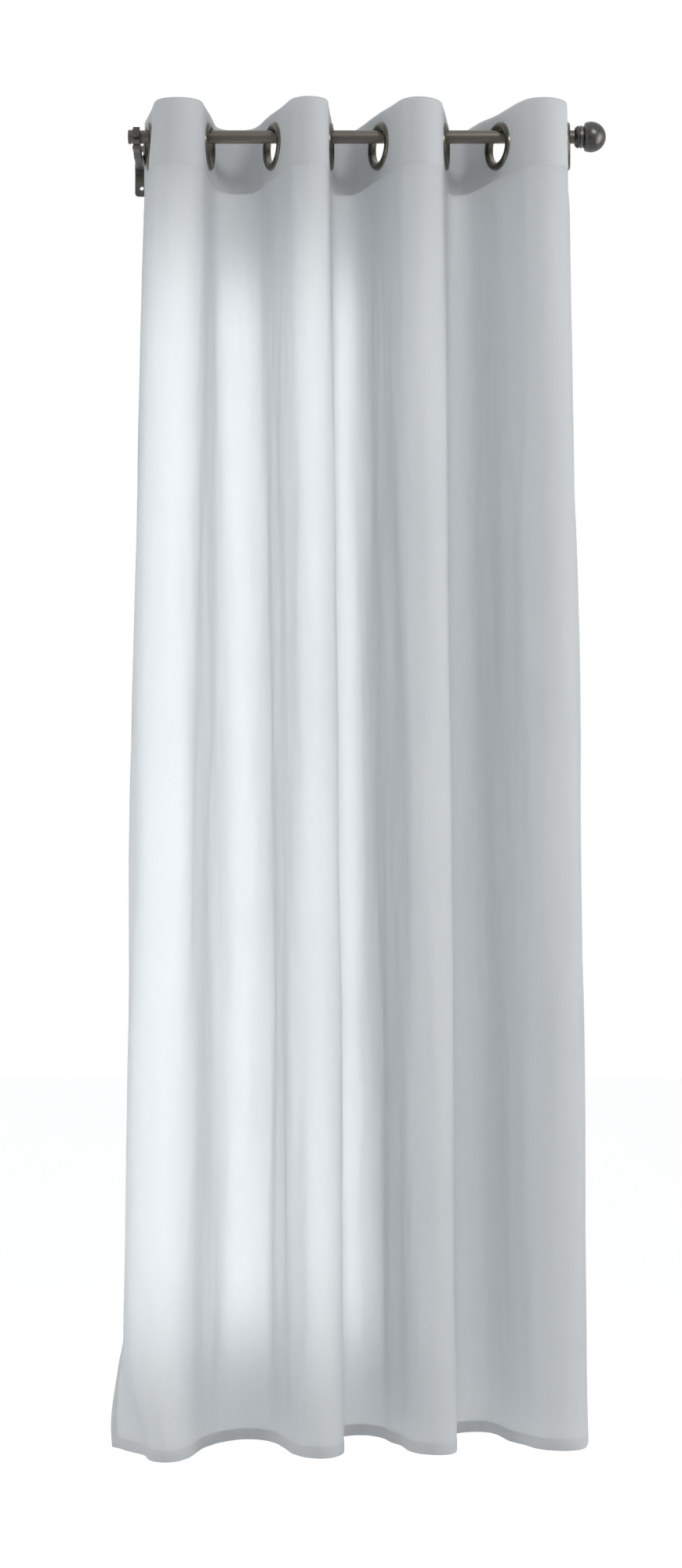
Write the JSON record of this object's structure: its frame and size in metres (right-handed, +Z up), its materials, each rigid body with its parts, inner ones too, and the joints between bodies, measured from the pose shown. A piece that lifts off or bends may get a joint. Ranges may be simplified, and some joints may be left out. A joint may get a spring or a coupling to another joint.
{
  "type": "window curtain on a rod",
  "caption": "Straight curtain panel in deep soft folds, hung by metal eyelets from a round wall-mounted rod with a ball finial at one end.",
  "frame": {"origin": "middle of the right wall plate's back, where it meets the wall", "axes": "+X along the rod towards the ball finial, +Y from the room into the wall, +Z up"},
  "size_m": [0.5825, 0.1658, 1.6],
  "materials": {
    "bracket_metal": "satin dark pewter",
    "rod_metal": "brushed pewter",
    "finial_metal": "antique pewter",
    "eyelet_metal": "dark antique pewter",
    "cloth": "off-white matt plain weave"
  },
  "bodies": {
    "wall_brackets": {"left_wall_plate": "bracket_metal", "left_arm": "bracket_metal", "left_cradle": "bracket_metal", "left_lock_screw": "bracket_metal", "right_wall_plate": "bracket_metal", "right_arm": "bracket_metal", "right_cradle": "bracket_metal", "right_lock_screw": "bracket_metal"},
    "left_thumbscrew_body": {"left_thumbscrew": "bracket_metal"},
    "right_thumbscrew_body": {"right_thumbscrew": "bracket_metal"},
    "rod": {"rod_tube": "rod_metal", "rod_end_cap": "rod_metal", "rod_insert": "rod_metal", "header_band": "cloth", "eyelet_8_front_ring": "eyelet_metal", "eyelet_8_back_ring": "eyelet_metal", "right_return": "cloth"},
    "finial": {"finial_stud": "finial_metal", "finial_collar": "finial_metal", "finial_ball": "finial_metal"},
    "eyelet_1": {"eyelet_1_front_ring": "eyelet_metal", "eyelet_1_back_ring": "eyelet_metal", "front_1_fold": "cloth", "left_return": "cloth"},
    "eyelet_2": {"eyelet_2_front_ring": "eyelet_metal", "eyelet_2_back_ring": "eyelet_metal", "rear_1_fold": "cloth"},
    "eyelet_3": {"eyelet_3_front_ring": "eyelet_metal", "eyelet_3_back_ring": "eyelet_metal", "front_2_fold": "cloth"},
    "eyelet_4": {"eyelet_4_front_ring": "eyelet_metal", "eyelet_4_back_ring": "eyelet_metal", "rear_2_fold": "cloth"},
    "eyelet_5": {"eyelet_5_front_ring": "eyelet_metal", "eyelet_5_back_ring": "eyelet_metal", "front_3_fold": "cloth"},
    "eyelet_6": {"eyelet_6_front_ring": "eyelet_metal", "eyelet_6_back_ring": "eyelet_metal", "rear_3_fold": "cloth"},
    "eyelet_7": {"eyelet_7_front_ring": "eyelet_metal", "eyelet_7_back_ring": "eyelet_metal", "front_4_fold": "cloth"}
  },
  "joints": [
    {"name": "rod_lift", "type": "slide", "parent": "wall_brackets", "child": "rod", "axis": [0, 0, 1], "range_m": [0, 0.035]},
    {"name": "finial_unscrew", "type": "hinge", "parent": "rod", "child": "finial", "pos_m": [0.0623, -0.089, 0.018], "axis": [1, 0, 0], "continuous": true},
    {"name": "left_thumbscrew_turn", "type": "hinge", "parent": "wall_brackets", "child": "left_thumbscrew_body", "pos_m": [-0.489, -0.105, 0.018], "axis": [0, -1, 0], "continuous": true},
    {"name": "right_thumbscrew_turn", "type": "hinge", "parent": "wall_brackets", "child": "right_thumbscrew_body", "pos_m": [0, -0.105, 0.018], "axis": [0, -1, 0], "continuous": true},
    {"name": "curtain_draw", "type": "slide", "parent": "rod", "child": "eyelet_1", "axis": [1, 0, 0], "range_m": [0, 0.15], "deforming": ["header_band"]},
    {"name": "eyelet_2_slide", "type": "slide", "parent": "rod", "child": "eyelet_2", "axis": [1, 0, 0], "range_m": [0, 0.12927]},
    {"name": "eyelet_3_slide", "type": "slide", "parent": "rod", "child": "eyelet_3", "axis": [1, 0, 0], "range_m": [0, 0.10609]},
    {"name": "eyelet_4_slide", "type": "slide", "parent": "rod", "child": "eyelet_4", "axis": [1, 0, 0], "range_m": [0, 0.08569]},
    {"name": "eyelet_5_slide", "type": "slide", "parent": "rod", "child": "eyelet_5", "axis": [1, 0, 0], "range_m": [0, 0.0678]},
    {"name": "eyelet_6_slide", "type": "slide", "parent": "rod", "child": "eyelet_6", "axis": [1, 0, 0], "range_m": [0, 0.04435]},
    {"name": "eyelet_7_slide", "type": "slide", "parent": "rod", "child": "eyelet_7", "axis": [1, 0, 0], "range_m": [0, 0.02508]}
  ],
  "couplings": [
    {"joint": "eyelet_2_slide", "follows": "curtain_draw", "ratio": 0.85847},
    {"joint": "eyelet_3_slide", "follows": "curtain_draw", "ratio": 0.70391},
    {"joint": "eyelet_4_slide", "follows": "curtain_draw", "ratio": 0.5679},
    {"joint": "eyelet_5_slide", "follows": "curtain_draw", "ratio": 0.44868},
    {"joint": "eyelet_6_slide", "follows": "curtain_draw", "ratio": 0.29234},
    {"joint": "eyelet_7_slide", "follows": "curtain_draw", "ratio": 0.16384}
  ]
}
